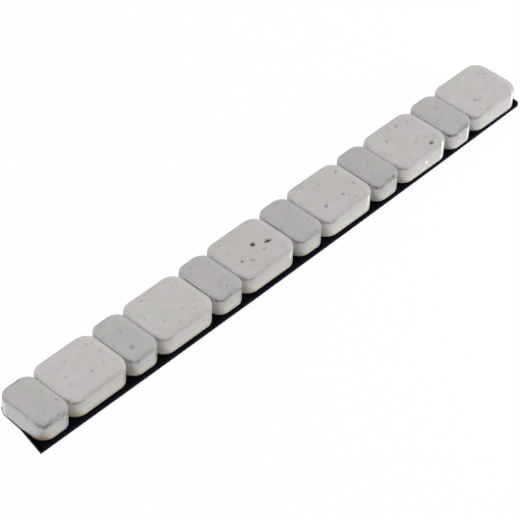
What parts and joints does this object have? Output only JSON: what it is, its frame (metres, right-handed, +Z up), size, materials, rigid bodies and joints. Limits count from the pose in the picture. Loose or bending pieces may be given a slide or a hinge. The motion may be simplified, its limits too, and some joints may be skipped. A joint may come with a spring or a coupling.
{
  "type": "wheel balance weight strip",
  "caption": "Self-adhesive wheel balance weight: a row of rounded, grey coated steel tablets, small and large in turn, on one black foam tape with a peel-off liner.",
  "frame": {"origin": "on the underside of the liner, below the middle of the row of tablets", "axes": "+X along the row from the first small tablet to the last large one, +Y across it, +Z up through the tablets"},
  "size_m": [0.1629, 0.0161, 0.0061],
  "materials": {
    "large_tablet_coat": "light grey coat on steel, satin, with fine pits",
    "small_tablet_coat": "slightly darker grey coat on steel, satin, with fine pits",
    "black_foam": "black closed-cell foam tape, matt, with tacky faces",
    "liner_film": "white silicone-coated release paper, smooth"
  },
  "bodies": {
    "root": {"small_weight_1": "small_tablet_coat", "large_weight_1": "large_tablet_coat", "small_weight_2": "small_tablet_coat", "large_weight_2": "large_tablet_coat", "small_weight_3": "small_tablet_coat", "large_weight_3": "large_tablet_coat", "small_weight_4": "small_tablet_coat", "large_weight_4": "large_tablet_coat", "small_weight_5": "small_tablet_coat", "large_weight_5": "large_tablet_coat", "small_weight_6": "small_tablet_coat", "large_weight_6": "large_tablet_coat", "foam_tape": "black_foam", "release_liner": "liner_film"}
  },
  "joints": []
}
